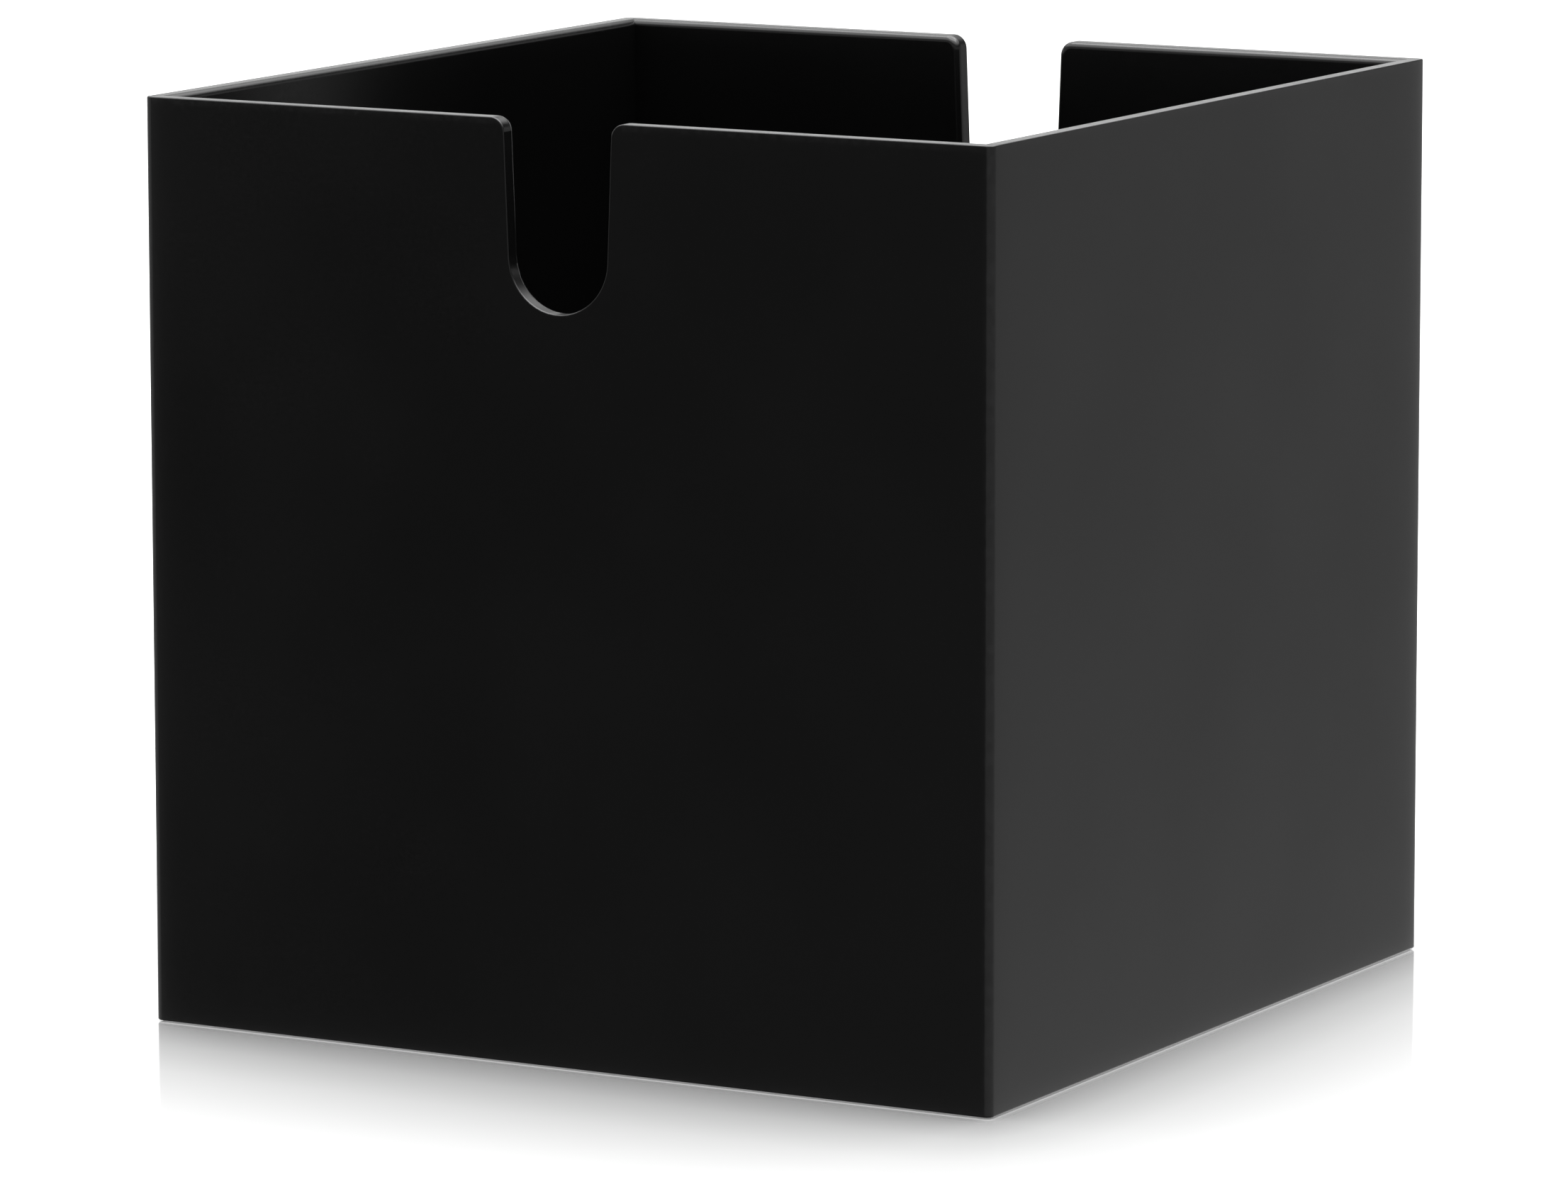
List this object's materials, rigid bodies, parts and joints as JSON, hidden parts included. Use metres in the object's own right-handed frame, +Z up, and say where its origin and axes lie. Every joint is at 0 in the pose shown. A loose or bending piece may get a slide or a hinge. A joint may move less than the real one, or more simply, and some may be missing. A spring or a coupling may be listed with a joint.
{
  "type": "napkin dispenser",
  "caption": "Open-top square box that holds a stack of beverage napkins, with a finger slot in the front and back walls for lifting one out.",
  "frame": {"origin": "middle of the footprint, on the surface that the feet stand on", "axes": "+Z up, +X to the right along the front wall, -Y out of the front wall; the finger slots are in the front (-Y) and back (+Y) walls"},
  "size_m": [0.14, 0.14, 0.1375],
  "materials": {
    "satin_black_plastic": "satin, fine even grain",
    "black_rubber": "matte"
  },
  "bodies": {
    "root": {"front_panel": "satin_black_plastic", "back_panel": "satin_black_plastic", "left_panel": "satin_black_plastic", "right_panel": "satin_black_plastic", "base_panel": "satin_black_plastic", "foot_front_left": "black_rubber", "foot_front_right": "black_rubber", "foot_back_left": "black_rubber", "foot_back_right": "black_rubber"}
  },
  "joints": []
}
